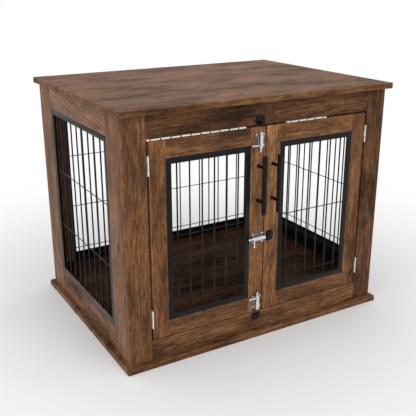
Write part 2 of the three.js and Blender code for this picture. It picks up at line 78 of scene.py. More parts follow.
UP = Vector((0, 0, 1))
DOWN = Vector((0, 0, -1))
LEFT = Vector((-1, 0, 0))
RIGHT = Vector((1, 0, 0))
FRONT = Vector((0, -1, 0))
BACK = Vector((0, 1, 0))
TURN = 2 * math.pi
CLOSE = 1e-6


# ---- Settings ----


def amount(name, description, default, **limits):
    return bpy.props.FloatProperty(name=name, description=description, default=default, **limits)


def metres(name, description, default, least=0):
    return amount(name, description, default, min=least, subtype="DISTANCE")


def tint(name, description, default):
    return bpy.props.FloatVectorProperty(
        name=name, description=description, default=default, size=3, subtype="COLOR", min=0, max=1)


class CrateTimberSettings(bpy.types.PropertyGroup):
    """Colours and finish of the rustic timber"""

    base: tint("Base", "Main brown of the timber", (0.285, 0.116, 0.042))
    light: tint("Light", "Pale worn streaks", (0.372, 0.168, 0.068))
    dark: tint("Dark", "Charred patches and knots", (0.024, 0.012, 0.007))
    roughness: amount("Roughness", "Roughness of the satin lacquer", 0.52, min=0, max=1)
    lacquer: amount("Lacquer", "Index of refraction of the lacquer", 1.2, min=1, max=2)
    edge: metres("Edge", "Width of the rubbed edges", 0.0032, 0.0005)


class CrateFloorSettings(bpy.types.PropertyGroup):
    """Sizes of the raised floor"""

    top: metres("Top", "Height of the floor's upper face", 0.075, 0.04)
    thickness: metres("Thickness", "Thickness of the floor board", 0.012, 0.004)
    gap: metres("Gap", "Gap between the floor board and the walls", 0.0015)
    bearer: metres("Bearer", "Width of the bearers under the floor board", 0.020, 0.005)
    inset: metres("Inset", "Distance of the bearers' ends from the board's edges", 0.002)


class CratePanelSettings(bpy.types.PropertyGroup):
    """Sizes of the wire panels"""

    flange: metres("Flange", "Width of the angle frame's flange", 0.0145, 0.004)
    thickness: metres("Thickness", "Thickness of the angle frame's steel", 0.002, 0.0005)
    upright: metres("Upright", "Diameter of the upright wires", 0.004, 0.001)
    rung: metres("Rung", "Diameter of the level wires", 0.0025, 0.001)
    depth: metres("Depth", "Depth of the uprights behind the flange", 0.007, 0.002)
    bite: metres("Bite", "Depth of the rungs in the uprights at the welds", 0.0003)


class CrateHingeSettings(bpy.types.PropertyGroup):
    """Sizes of the piano hinges and butt hinges"""

    barrel: metres("Barrel", "Diameter of the knuckles", 0.0036, 0.001)
    bore: metres("Bore", "Diameter of the bore of the turning knuckles", 0.0023, 0.0005)
    pin: metres("Pin", "Diameter of the pins", 0.0016, 0.0005)
    leaf: metres("Leaf", "Thickness of the leaves", 0.001, 0.0003)
    spacing: metres("Spacing", "Space between the two leaves", 0.002, 0.0005)
    clearance: metres("Clearance", "Space between the barrel and the front", 0.0003, 0.0001)
    notch: metres("Notch", "Depth of the leaves' notches between the knuckles", 0.0025)
    piano_pitch: metres(
        "Piano pitch", "Length of a piano hinge's knuckle and its gap", 0.0259, 0.005)
    piano_gap: metres("Piano gap", "Gap between a piano hinge's knuckles", 0.0034, 0.0002)
    butt_gap: metres("Butt gap", "Gap between a butt hinge's knuckles", 0.0008, 0.0002)


class CrateHardwareSettings(bpy.types.PropertyGroup):
    """Sizes of the handles, barrel bolts, keepers and screws"""

    bar: metres("Bar", "Diameter of the handles' bars", 0.012, 0.004)
    post: metres("Post", "Diameter of the handles' posts", 0.008, 0.002)
    post_spacing: metres("Post spacing", "Distance between a handle's posts", 0.09, 0.02)
    plate: metres("Plate", "Thickness of the bolts' and keepers' plates", 0.0012, 0.0005)
    axis_height: metres("Axis height", "Height of the bolts' axes above the door", 0.0055, 0.002)
    bolt: metres("Bolt", "Diameter of the bolts", 0.006, 0.002)
    bolt_length: metres("Bolt length", "Length of the bolts", 0.052, 0.02)
    throw: metres("Throw", "Travel of the bolts", 0.025, 0.005)
    tip: metres("Tip", "Reach of a drawn bolt beyond its housing", 0.003)
    housing: metres("Housing", "Diameter of the housings' barrels", 0.012, 0.004)
    housing_bore: metres("Housing bore", "Diameter of the housings' bores", 0.0067, 0.002)
    waist: metres("Waist", "Least width of the housings' plates", 0.023, 0.005)
    ear: metres("Ear", "Length of the plates' straight ends", 0.010, 0.002)
    knob_lead: metres(
        "Knob lead", "Distance of a thrown knob from the housing's leading end", 0.006, 0.002)
    knob_stem: metres("Knob stem", "Diameter of the knobs' stems", 0.0044, 0.001)
    knob_head: metres("Knob head", "Diameter of the knobs' heads", 0.0056, 0.001)
    knob_reach: metres("Knob reach", "Reach of the knobs from the bolts' axes", 0.0255, 0.005)
    slot: metres("Slot", "Width of the knobs' slots", 0.0056, 0.001)
    hoop: metres("Hoop", "Inner diameter of the keepers' hoops", 0.0086, 0.002)
    hoop_width: metres("Hoop width", "Width of the keepers' hoops", 0.0045, 0.001)
    hoop_inset: metres("Hoop inset", "Distance of the hoops from the keepers' edges", 0.0015)
    hoop_metal: metres("Hoop metal", "Thickness of the hoops", 0.0014, 0.0003)
    screw: metres("Screw", "Diameter of the screw heads", 0.005, 0.001)
    screw_height: metres("Screw height", "Height of the screw heads", 0.0016, 0.0005)
    screw_edge: metres("Screw edge", "Distance of the screws from the plates' edges", 0.0045, 0.001)
    keeper_screw: metres(
        "Keeper screw", "Distance of the keepers' screws from the hoops' edge", 0.012, 0.001)


class CrateStageSettings(bpy.types.PropertyGroup):
    """Camera, floor and lamps"""

    azimuth: amount(
        "Azimuth", "Camera's turn round the crate", math.radians(-30.36), subtype="ANGLE")
    elevation: amount(
        "Elevation", "Camera's height above the horizon", math.radians(19.23), subtype="ANGLE")
    roll: amount("Roll", "Camera's tilt", math.radians(-0.08), subtype="ANGLE")
    distance: metres("Distance", "Camera's distance from its target", 1.972, 0.5)
    target_height: metres("Target height", "Height that the camera looks at", 0.2729)
    focal_length: amount(
        "Focal length", "Lens of the camera on a 36 mm sensor, in millimetres", 57.94, min=10)
    floor: amount("Floor", "Grey of the floor", 0.805, min=0, max=1)
    sky: amount("Sky", "Strength of the studio's even light", 0.95, min=0)
    key: amount("Key", "Power of the lamp in front", 15, subtype="POWER", min=0)
    fill: amount("Fill", "Power of the lamp on the left", 10, subtype="POWER", min=0)
    top: amount("Top", "Power of the lamp overhead", 5, subtype="POWER", min=0)


# ---- Node helpers ----


def plug(tree, value, socket):
    """Links an output to a socket, or sets the socket's value."""
    if isinstance(value, bpy.types.NodeSocket):
        tree.links.new(value, socket)
    else:
        socket.default_value = value


def plug_all(tree, values, sockets):
    for name, value in values.items():
        plug(tree, value, sockets[name])


def add_node(tree, kind, inputs=None, **settings):
    made = tree.nodes.new(kind)
    for name, value in settings.items():
        setattr(made, name, value)
    plug_all(tree, inputs or {}, made.inputs)
    return made


def maths(tree, operation, *values):
    return add_node(tree, "ShaderNodeMath", dict(enumerate(values)), operation=operation).outputs[0]


def vector_maths(tree, operation, *values):
    made = add_node(tree, "ShaderNodeVectorMath", dict(enumerate(values)), operation=operation)
    return made.outputs["Value" if operation in ("LENGTH", "DOT_PRODUCT") else "Vector"]


def stretched(tree, vector, scale, offset=(0, 0, 0)):
    """Coordinates scaled along each axis, so that a texture is drawn out along the grain."""
    return add_node(tree, "ShaderNodeMapping",
                    {"Vector": vector, "Scale": scale, "Location": offset}).outputs["Vector"]


def noise(tree, vector, scale=1.0, detail=2.0, roughness=0.5):
    return add_node(tree, "ShaderNodeTexNoise",
                    {"Vector": vector, "Scale": scale, "Detail": detail,
                     "Roughness": roughness}).outputs["Fac"]


def ramp(tree, value, zero, one):
    """0 at zero and 1 at one, smoothly."""
    return add_node(tree, "ShaderNodeMapRange",
                    {"Value": value, "From Min": zero, "From Max": one},
                    interpolation_type="SMOOTHSTEP").outputs["Result"]


def mixed(tree, factor, first, second):
    made = add_node(tree, "ShaderNodeMix", data_type="RGBA")
    plug(tree, factor, made.inputs[0])
    plug(tree, first, made.inputs[6])
    plug(tree, second, made.inputs[7])
    return made.outputs[2]


def darkened(tree, color, dark, mask, strength):
    return mixed(tree, maths(tree, "MULTIPLY", mask, strength), color, dark)


def new_group(name, inputs, outputs):
    """An empty node group. Its inputs are name: default, and a vector if that is None."""
    group = bpy.data.node_groups.new(name, "ShaderNodeTree")
    for label, default in inputs.items():
        kind = "Vector" if default is None else "Color" if isinstance(default, tuple) else "Float"
        socket = group.interface.new_socket(label, in_out="INPUT", socket_type=f"NodeSocket{kind}")
        if default is not None:
            socket.default_value = default
    for label, kind in outputs.items():
        group.interface.new_socket(label, in_out="OUTPUT", socket_type=f"NodeSocket{kind}")
    given, out = (group.nodes.new(kind) for kind in ("NodeGroupInput", "NodeGroupOutput"))
    return group, given.outputs, out.inputs


def use_group(tree, group, inputs):
    return add_node(tree, "ShaderNodeGroup", inputs, node_tree=group).outputs


def principled(name):
    material = bpy.data.materials.new(name)
    material.use_nodes = True
    return material, material.node_tree, material.node_tree.nodes["Principled BSDF"].inputs


def opaque(rgb):
    return (*rgb, 1.0)


# ---- Timber ----

TIMBER_SLOTS = ("timber", "inner_timber")
GRAIN_TURNS = {"x": (0, 0, 0), "y": (0, 0, math.pi / 2), "z": (0, math.pi / 2, 0)}

# Tone and share of charred patches of the boards that stand out from the rest. The raised floor's
# low tone is painted shade for the dark inside of the crate.
BOARD_LOOKS = {
    "front_left_post": (0.90, 0.6),
    "front_right_post": (0.63, 1.0),
    "front_top_rail": (0.67, 1.0),
    "front_bottom_rail": (0.91, 1.0),
    "left_door_hinge_stile": (1.07, 0.9),
    "left_door_top_rail": (1.00, 0.9),
    "left_door_bottom_rail": (0.84, 0.5),
    "right_door_hinge_stile": (0.96, 0.8),
    "right_door_top_rail": (1.04, 0.7),
    "right_door_bottom_rail": (0.86, 0.6),
    "left_door_meeting_stile": (1.15, 0.9),
    "right_door_meeting_stile": (1.50, 1.0),
    "left_front_stile": (0.95, 0.6),
    "left_top_rail": (1.18, 0.6),
    "left_bottom_rail": (0.90, 1.1),
    "top_board": (0.83, 0.8),
    "base_board": (0.89, 1.1),
    # Painted shade: the raised floor is darkened for the dim inside of the crate.
    "raised_floor": (0.29, 1.0),
}
PLAIN_LOOK = (1.0, 0.6)

# The way that the inner face of a board looks. That face is painted black as shade, for the dark
# inside of the crate.
SHADE_PAINTED_FACES = {
    "front_bottom_rail": BACK, "back_bottom_rail": FRONT,
    "left_bottom_rail": RIGHT, "right_bottom_rail": LEFT,
}
PAINTED_SHADE_BLACK = (0.004, 0.004, 0.004, 1)

# Index of refraction of the boards whose lacquer stands in for light and shade: glossier on the lit
# left side as a painted sheen, and duller on the raised floor as painted shade.
LIT_AND_SHADED_SHEENS = {
    "raised_floor": 1.06, "left_front_stile": 1.28, "left_back_stile": 1.28, "left_top_rail": 1.33,
}

# How far the grain wanders from a straight line, in metres, and how many rings cross the pattern.
SWAY = 0.035
RINGS = 26.0

# Strengths of the rings, the charred patches, the saw marks and the knots.
RING_DARK, CHAR_DARK, SAW_DARK, KNOT_DARK = 0.3, 0.82, 0.22, 0.9

# Share of the pale colour on the rubbed edges, and scale of the noise that breaks them up.
EDGE_WEAR, RUB_SCALE = 0.5, 38

# Scale of the smears in the lacquer's gloss, the roughness that they and the charred patches add,
# and depth of the open grain in metres.
SMEAR_SCALE, SMEAR_ROUGHNESS, CHAR_ROUGHNESS = 11, 0.16, 0.12
GRAIN_DEPTH = 0.0004

# Least share of its tone that a board keeps, and how much the shares differ. The steps lead from
# board to board, in tone and in place in the pattern, and each starts again past its span.
LEAST_TONE, TONE_SPREAD, TONE_STEP = 0.96, 0.08, 0.382
PLACE_STEPS = ((1.37, 5), (0.61, 3), (0.83, 4))

# Dark layers from broad streaks to fine fibres: stretch along and across the grain, shift, detail,
# roughness, where the mask starts and ends, and strength.
GRAIN_LAYERS = (
    (4, 125, 0, 5, 0.70, 0.54, 0.36, 0.38),
    (9, 400, 5, 4, 0.80, 0.46, 0.58, 0.58),
    (40, 165, 3, 4, 0.78, 0.50, 0.62, 0.50),
    (22, 620, 1, 3, 0.70, 0.44, 0.74, 0.60),
)


def rustic_group():
    """Rustic timber with its grain along X: rings, streaks, charred patches, saw marks, knots."""
    group, given, out = new_group(
        "Rustic Timber",
        {"Vector": None, "Base": (0.16, 0.07, 0.03, 1), "Light": (0.30, 0.16, 0.08, 1),
         "Dark": (0.02, 0.013, 0.009, 1), "Patches": 0.6},
        {"Color": "Color", "Height": "Float", "Charred": "Float"})
    vector, base, light, dark = (given[label] for label in ("Vector", "Base", "Light", "Dark"))

    sway = noise(group, stretched(group, vector, (2.4, 7, 7)))
    drift = maths(group, "MULTIPLY", sway, SWAY)
    drifted = vector_maths(group, "ADD", vector, add_node(
        group, "ShaderNodeCombineXYZ", {"Y": drift, "Z": drift}).outputs[0])

    tone = noise(group, stretched(group, drifted, (2.4, 24, 24), (7, 2, 5)), detail=3)
    color = mixed(group, maths(group, "MULTIPLY", ramp(group, tone, 0.40, 0.62), 0.9), base, light)
    rings = noise(group, stretched(group, drifted, (0.8, 5.5, 5.5)), detail=1)
    ring_lines = maths(group, "PINGPONG", maths(group, "MULTIPLY", rings, RINGS), 1.0)
    color = darkened(group, color, dark, ramp(group, ring_lines, 0.6, 1.0), RING_DARK)
    for along, across, shift, detail, rough, start, end, strength in GRAIN_LAYERS:
        moved = stretched(group, drifted, (along, across, across), (shift, shift, shift))
        mask = ramp(group, noise(group, moved, detail=detail, roughness=rough), start, end)
        color = darkened(group, color, dark, mask, strength)
    fibres = mask

    patches = noise(group, stretched(group, drifted, (5, 15, 15)), detail=8, roughness=0.70)
    charred = maths(group, "MULTIPLY", ramp(group, patches, 0.43, 0.66), given["Patches"])
    color = darkened(group, color, dark, charred, CHAR_DARK)
    saw = noise(group, stretched(group, vector, (170, 9, 9)))
    color = darkened(group, color, dark, ramp(group, saw, 0.58, 0.75), SAW_DARK)
    cells = add_node(group, "ShaderNodeTexVoronoi",
                     {"Vector": stretched(group, vector, (5.5, 15, 15)), "Scale": 1.0}).outputs
    knots = ramp(group, cells["Distance"], 0.12, 0.04)
    color = darkened(group, color, dark, knots, KNOT_DARK)

    dips = maths(group, "ADD", maths(group, "MULTIPLY", charred, 0.3),
                 maths(group, "MULTIPLY", knots, 0.5))
    dips = maths(group, "ADD", dips, maths(group, "MULTIPLY", fibres, 0.4))
    height = maths(group, "SUBTRACT", 1.0, dips)
    plug_all(group, {"Color": color, "Height": height, "Charred": charred}, out)
    return group


def edge_group():
    """Finds the rubbed stretches of the edges of a board that lies between two corners."""
    group, given, out = new_group(
        "Board Edges",
        {"Vector": None, "Low": None, "High": None, "Width": 0.003}, {"Rubbed": "Float"})
    from_low = vector_maths(group, "SUBTRACT", given["Vector"], given["Low"])
    from_high = vector_maths(group, "SUBTRACT", given["High"], given["Vector"])
    nearest = vector_maths(group, "MINIMUM", from_low, from_high)
    x, y, z = add_node(group, "ShaderNodeSeparateXYZ", {0: nearest}).outputs
    lesser = maths(group, "MINIMUM", x, y)
    greater = maths(group, "MAXIMUM", x, y)
    second = maths(group, "MAXIMUM", lesser, maths(group, "MINIMUM", greater, z))
    edge = ramp(group, second, given["Width"], 0.0)
    breaks = noise(group, given["Vector"], RUB_SCALE, detail=4, roughness=0.65)
    rub = ramp(group, breaks, 0.42, 0.60)
    group.links.new(maths(group, "MULTIPLY", edge, rub), out["Rubbed"])
    return group


def board_material(node, index, corners, settings):
    """A board's timber: grain along its longest side, and its own place in the pattern and tone."""
    rustic, edges = bpy.data.node_groups["Rustic Timber"], bpy.data.node_groups["Board Edges"]
    low, high = corners
    size = high - low
    grain = "xyz"[max(range(3), key=lambda axis: size[axis])]
    tone, patches = BOARD_LOOKS.get(node, PLAIN_LOOK)
    tone *= LEAST_TONE + TONE_SPREAD * (index * TONE_STEP % 1)
    base, light, dark = (opaque([channel * tone for channel in rgb])
                         for rgb in (settings.base, settings.light, settings.dark))

    material, tree, shader = principled(f"Timber {node}")
    place = add_node(tree, "ShaderNodeTexCoord").outputs["Object"]
    shift = [index * step % span for step, span in PLACE_STEPS]
    turned = add_node(tree, "ShaderNodeMapping",
                      {"Vector": place, "Rotation": GRAIN_TURNS[grain], "Location": shift})
    pattern = use_group(tree, rustic, {"Vector": turned.outputs["Vector"], "Base": base,
                                       "Light": light, "Dark": dark, "Patches": patches})
    border = use_group(tree, edges, {"Vector": place, "Low": low, "High": high,
                                     "Width": settings.edge})
    rubbed = maths(tree, "MULTIPLY", border["Rubbed"], EDGE_WEAR)
    worn_and_shaded = mixed(tree, rubbed, pattern["Color"], light)
    # Painted shade: the inner faces of the bottom rails are turned black where the inside of the
    # crate is dark.
    if node in SHADE_PAINTED_FACES:
        normal = place.node.outputs["Normal"]
        facing = vector_maths(tree, "DOT_PRODUCT", normal, SHADE_PAINTED_FACES[node])
        worn_and_shaded = mixed(tree, ramp(tree, facing, 0.4, 0.6), worn_and_shaded, PAINTED_SHADE_BLACK)
    smears = noise(tree, place, SMEAR_SCALE, detail=3)
    rough = maths(tree, "ADD", maths(tree, "MULTIPLY", smears, SMEAR_ROUGHNESS),
                  maths(tree, "MULTIPLY", pattern["Charred"], CHAR_ROUGHNESS))
    offset = settings.roughness - SMEAR_ROUGHNESS / 2
    bump = add_node(tree, "ShaderNodeBump",
                    {"Height": pattern["Height"], "Strength": 0.3, "Distance": GRAIN_DEPTH})
    # The boards in the sheen table take a glossier or duller lacquer, as painted sheen on the lit
    # left side and painted shade on the raised floor.
    plug_all(tree, {"Base Color": worn_and_shaded, "Roughness": maths(tree, "ADD", rough, offset),
                    "Normal": bump.outputs["Normal"],
                    "IOR": LIT_AND_SHADED_SHEENS.get(node, settings.lacquer)}, shader)
    return material


# ---- Metal ----


def metal_group():
    """Variation that the metals share: broad clouds, fine specks and rubbed edges."""
    group, given, out = new_group(
        "Metal Wear",
        {"Vector": None, "Cloud Scale": 20.0, "Speck Scale": 900.0},
        {"Clouds": "Float", "Specks": "Float", "Rubbed": "Float"})
    clouds = noise(group, given["Vector"], given["Cloud Scale"], detail=4, roughness=0.6)
    specks = noise(group, given["Vector"], given["Speck Scale"], detail=2)
    pointed = add_node(group, "ShaderNodeNewGeometry").outputs["Pointiness"]
    sharp = ramp(group, pointed, 0.53, 0.62)
    rubbed = maths(group, "MULTIPLY", sharp, ramp(group, clouds, 0.4, 0.6))
    clouded = ramp(group, clouds, 0.32, 0.68)
    plug_all(group, {"Clouds": clouded, "Specks": specks, "Rubbed": rubbed}, out)
    return group


# Share of the rubbed colour on the edges, and depth of the specks in metres.
RUB_SHARE = 0.6
SPECK_DEPTH = 0.0002

# Slot in the record, the two clouded colours, the rubbed colour, least and most roughness,
# metallic, index of refraction, scales of the clouds and the specks, and strength of the bump.
LOOK = ("slot", "one", "other", "rubbed", "least", "most", "metallic", "refraction", "clouds",
        "specks", "bump")
METALS = {name: dict(zip(LOOK, values)) for name, *values in (
    # The black paint of the panels, handles and keepers, and also the painted shade of the hinge
    # pins.
    ("Black Coat",
     "black_steel", (0.0015, 0.0016, 0.0018), (0.0032, 0.0035, 0.0038), (0.025, 0.027, 0.029),
     0.34, 0.46, 0.0, 1.28, 14.0, 900.0, 0.25),
    ("White Zinc",
     "white_zinc", (0.82, 0.81, 0.79), (0.66, 0.65, 0.63), (0.9, 0.9, 0.89),
     0.30, 0.46, 0.4, 1.5, 150.0, 1100.0, 0.1),
    # The bright steel darkened as painted shade, standing in for the dark reflections of the
    # housings' plates.
    ("Dull Steel",
     "bright_steel", (0.20, 0.19, 0.18), (0.10, 0.095, 0.09), (0.55, 0.55, 0.55),
     0.24, 0.40, 1.0, 1.5, 130.0, 1300.0, 0.08),
    ("Bright Steel",
     "bright_steel", (0.74, 0.74, 0.74), (0.52, 0.52, 0.53), (0.86, 0.86, 0.86),
     0.14, 0.30, 1.0, 1.5, 130.0, 1300.0, 0.08),
)}


def metal_material(name, group, look):
    """A metal or its coating: two clouded tones, rubbed edges, uneven gloss and a fine skin."""
    _, one, other, rubbed, least, most, metallic, refraction, clouds, specks, bump = look.values()
    material, tree, shader = principled(name)
    place = add_node(tree, "ShaderNodeTexCoord").outputs["Object"]
    skin = use_group(tree, group, {"Vector": place, "Cloud Scale": clouds, "Speck Scale": specks})
    clouded = mixed(tree, skin["Clouds"], opaque(one), opaque(other))
    wear = maths(tree, "MULTIPLY", skin["Rubbed"], RUB_SHARE)
    rough = maths(tree, "MULTIPLY_ADD", skin["Clouds"], most - least, least)
    grain = add_node(tree, "ShaderNodeBump",
                     {"Height": skin["Specks"], "Strength": bump, "Distance": SPECK_DEPTH})
    shade = mixed(tree, wear, clouded, opaque(rubbed))
    plug_all(tree, {"Base Color": shade, "Roughness": rough, "Normal": grain.outputs["Normal"],
                    "Metallic": metallic, "IOR": refraction}, shader)
    return material


# ---- Shape helpers ----

# Edges that turn by less than this are shaded smooth.
SMOOTH_BELOW = math.radians(35)

# Widths of the softened edges, in metres.
BOARD_EDGE, BEARER_EDGE, STEEL_EDGE, PLATE_EDGE, LEAF_EDGE = 0.0015, 0.001, 0.0004, 0.0003, 0.0002


def newer(bm, older):
    return [vert for vert in bm.verts if vert not in older]


def faces_of(verts):
    return list({face for vert in verts for face in vert.link_faces})


def only_verts(geom):
    return [item for item in geom if isinstance(item, bmesh.types.BMVert)]


def open_edges(geom):
    return [item for item in geom if isinstance(item, bmesh.types.BMEdge) and item.is_boundary]


def mark_second(bm, older):
    """Gives the faces drawn since the older vertices the piece's second metal."""
    for face in faces_of(newer(bm, older)):
        face.material_index = 1


def outline(bm, points):
    """A flat face through the points, in order."""
    verts = bmesh.ops.create_circle(bm, cap_ends=True, segments=len(points), radius=1)["verts"]
    for vert, (x, y) in zip(verts, points):
        vert.co = (x, y, 0)
    return verts[0].link_faces[0]


def soften(bm, verts, width, segments=2, angle=40):
    """Bevels the sharp edges between the vertices."""
    chosen = set(verts)
    sharp = [edge for edge in bm.edges
             if chosen.issuperset(edge.verts) and edge.calc_face_angle(0) > math.radians(angle)]
    bmesh.ops.bevel(bm, geom=sharp, offset=width, segments=segments, profile=0.5, affect="EDGES",
                    material=-1, clamp_overlap=True)


def slab(bm, points, low, high, edge):
    """The outline drawn up from low to high, with its sharp edges softened."""
    older = set(bm.verts)
    face = outline(bm, points)
    bmesh.ops.translate(bm, vec=(0, 0, low), verts=face.verts)
    drawn = bmesh.ops.extrude_face_region(bm, geom=[face], use_keep_orig=True)["geom"]
    bmesh.ops.translate(bm, vec=(0, 0, high - low), verts=only_verts(drawn))
    bmesh.ops.recalc_face_normals(bm, faces=faces_of(newer(bm, older)))
    soften(bm, newer(bm, older), edge)


def rounded(points, reaches, steps=4):
    """The outline with each corner drawn as a curve that starts its reach away from it."""
    made = []
    around = zip(points[-1:] + points[:-1], points, points[1:] + points[:1], reaches)
    for before, corner, after, reach in around:
        corner = Vector(corner)
        start = corner + (Vector(before) - corner).normalized() * reach
        end = corner + (Vector(after) - corner).normalized() * reach
        for step in range(steps + 1):
            share = step / steps
            inner = corner * 2 * share * (1 - share)
            made.append(start * (1 - share) ** 2 + inner + end * share ** 2)
    return made


def chain(bm, points):
    """A chain of edges through the points."""
    vert = bmesh.ops.create_vert(bm, co=points[0])["vert"][0]
    geom = [vert]
    for point in points[1:]:
        grown = bmesh.ops.extrude_vert_indiv(bm, verts=[vert])
        vert = grown["verts"][0]
        vert.co = point
        geom += [*grown["edges"], vert]
    return geom


def lathe(bm, profile, steps, place, closed=False):
    """Spins a profile of radius and height round an axis, and places it. A closed one is a tube."""
    older = set(bm.verts)
    geom = chain(bm, [(radius, 0, height) for radius, height in profile])
    if closed:
        geom += bmesh.ops.contextual_create(bm, geom=[geom[0], geom[-1]])["edges"]
    bmesh.ops.spin(bm, geom=geom, cent=(0, 0, 0), axis=(0, 0, 1), dvec=(0, 0, 0), angle=TURN,
                   steps=steps, use_merge=True)
    bmesh.ops.remove_doubles(bm, verts=newer(bm, older), dist=CLOSE)
    bmesh.ops.transform(bm, matrix=place, verts=newer(bm, older))


def round_bar(radius, low, high, rounding, steps=3):
    """The profile of a bar from low to high whose rims are rounded."""
    turns = [math.pi / 2 * step / steps for step in range(steps + 1)]
    inner = radius - rounding
    lower = [(inner + rounding * math.sin(t), low + rounding * (1 - math.cos(t))) for t in turns]
    upper = [(across, low + high - height) for across, height in reversed(lower)]
    return [(0, low), *lower, *upper, (0, high)]


def tube(radius, bore, low, high, chamfer):
    """The profile of a tube, or of a bar if it has no bore, whose outer rims are chamfered."""
    return [(bore, low), (radius - chamfer, low), (radius, low + chamfer),
            (radius, high - chamfer), (radius - chamfer, high), (bore, high)]


def block(bm, low, high, edge):
    """A box between two corners with softened edges."""
    low, high = Vector(low), Vector(high)
    older = set(bm.verts)
    place = Matrix.Translation((low + high) / 2) @ Matrix.Diagonal((*(high - low), 1))
    bmesh.ops.create_cube(bm, size=1, matrix=place)
    soften(bm, newer(bm, older), edge)


def rod(bm, radius, start, end, segments):
    """A closed round wire from start to end."""
    start, end = Vector(start), Vector(end)
    turn = (end - start).to_track_quat("Z", "Y").to_matrix().to_4x4()
    place = Matrix.Translation((start + end) / 2) @ turn
    bmesh.ops.create_cone(bm, cap_ends=True, segments=segments, radius1=radius, radius2=radius,
                          depth=(end - start).length, matrix=place)


def stand(origin, across, along, out):
    """Puts what is drawn with x across, y along and z out at a place in the frame."""
    return Matrix.Translation(origin) @ Matrix((across, along, out)).transposed().to_4x4()


ALONG_Y = Matrix.Rotation(-math.pi / 2, 4, "X")


def add_object(name, data):
    made = bpy.data.objects.new(name, data)
    bpy.context.scene.collection.objects.link(made)
    return made


def make_object(bm, name, materials):
    bmesh.ops.recalc_face_normals(bm, faces=bm.faces)
    for edge in bm.edges:
        edge.smooth = edge.calc_face_angle(0) < SMOOTH_BELOW
    for face in bm.faces:
        face.smooth = True
    mesh = bpy.data.meshes.new(name)
    bm.to_mesh(mesh)
    bm.free()
    for material in materials:
        mesh.materials.append(material)
    return add_object(name, mesh)


def finish_piece(bm, name, metals, place, node):
    """Makes the piece that stands for a node. Its second metal is on the faces marked for it."""
    bmesh.ops.transform(bm, matrix=place, verts=bm.verts)
    piece = make_object(bm, name, [bpy.data.materials[metal] for metal in metals])
    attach(piece, frame["nodes"][node]["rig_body"])
    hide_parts(node)


# ---- Raised floor ----

BEARERS = 4
FLOOR_PATTERN = 30


def raised_floor(timber, settings):
    """The board that the dog stands on, raised on bearers inside the walls."""
    low = Vector((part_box("left_bottom_rail")[1].x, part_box("front_bottom_rail")[1].y, 0))
    high = Vector((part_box("right_bottom_rail")[0].x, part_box("back_bottom_rail")[0].y, 0))
    gap = Vector((settings.gap, settings.gap, 0))
    low, high = low + gap, high - gap
    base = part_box("base_board")[1].z
    under = settings.top - settings.thickness
    bm = bmesh.new()
    block(bm, (*low.xy, under), (*high.xy, settings.top), BOARD_EDGE)
    for step in range(BEARERS):
        y = low.y + (high.y - low.y - settings.bearer) * step / (BEARERS - 1)
        start, end = low.x + settings.inset, high.x - settings.inset
        block(bm, (start, y, base), (end, y + settings.bearer, under), BEARER_EDGE)
    corners = Vector((*low.xy, under)), Vector((*high.xy, settings.top))
    # Its timber is darkened as painted shade for the inside of the crate.
    material = board_material("raised_floor", FLOOR_PATTERN, corners, timber)
    piece = make_object(bm, "raised_floor", [material])
    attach(piece, frame["nodes"]["base_board"]["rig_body"])


# ---- Wire panels ----

# Way out, count of uprights, share of a pitch beside the outer ones, heights of the rungs, and the
# side of the uprights that the rungs are on.
PANELS = {
    "left_mesh_panel": (LEFT, 8, 1, (0.141, 0.303), 1),
    "right_mesh_panel": (RIGHT, 9, 1, (0.020, 0.199), 1),
    "back_mesh_panel": (BACK, 16, 1, (0.014, 0.152, 0.310), 1),
    "left_door_mesh_panel": (FRONT, 6, 0.5, (0.020, 0.199), -1),
    "right_door_mesh_panel": (FRONT, 6, 0.5, (0.020, 0.199), -1),
}

UPRIGHT_SIDES, RUNG_SIDES = 16, 12

# Radius of a weld over the diameter of a rung.
WELD = 0.7


def angle_frame(bm, half_x, half_y, leg, settings):
    """An angle section bent round a rectangle: a ring of corners drawn from point to point."""
    section = [(0, 0), (settings.flange, 0), (settings.flange, -settings.thickness),
               (settings.thickness, -settings.thickness), (settings.thickness, -leg), (0, -leg)]
    ring = bmesh.ops.create_circle(bm, segments=4, radius=1)["verts"]
    for vert, (x, y) in zip(ring, ((-1, -1), (1, -1), (1, 1), (-1, 1))):
        vert.co = (x * half_x, y * half_y, 0)
    edges = list({edge for vert in ring for edge in vert.link_edges})
    for inset, depth in section[1:] + section[:1]:
        drawn = bmesh.ops.extrude_edge_only(bm, edges=edges)["geom"]
        for vert in only_verts(drawn):
            vert.co.x = math.copysign(half_x - inset, vert.co.x)
            vert.co.y = math.copysign(half_y - inset, vert.co.y)
            vert.co.z = depth
        edges = open_edges(drawn)
    bmesh.ops.remove_doubles(bm, verts=bm.verts, dist=CLOSE)
    bmesh.ops.recalc_face_normals(bm, faces=bm.faces)
    soften(bm, bm.verts, STEEL_EDGE)


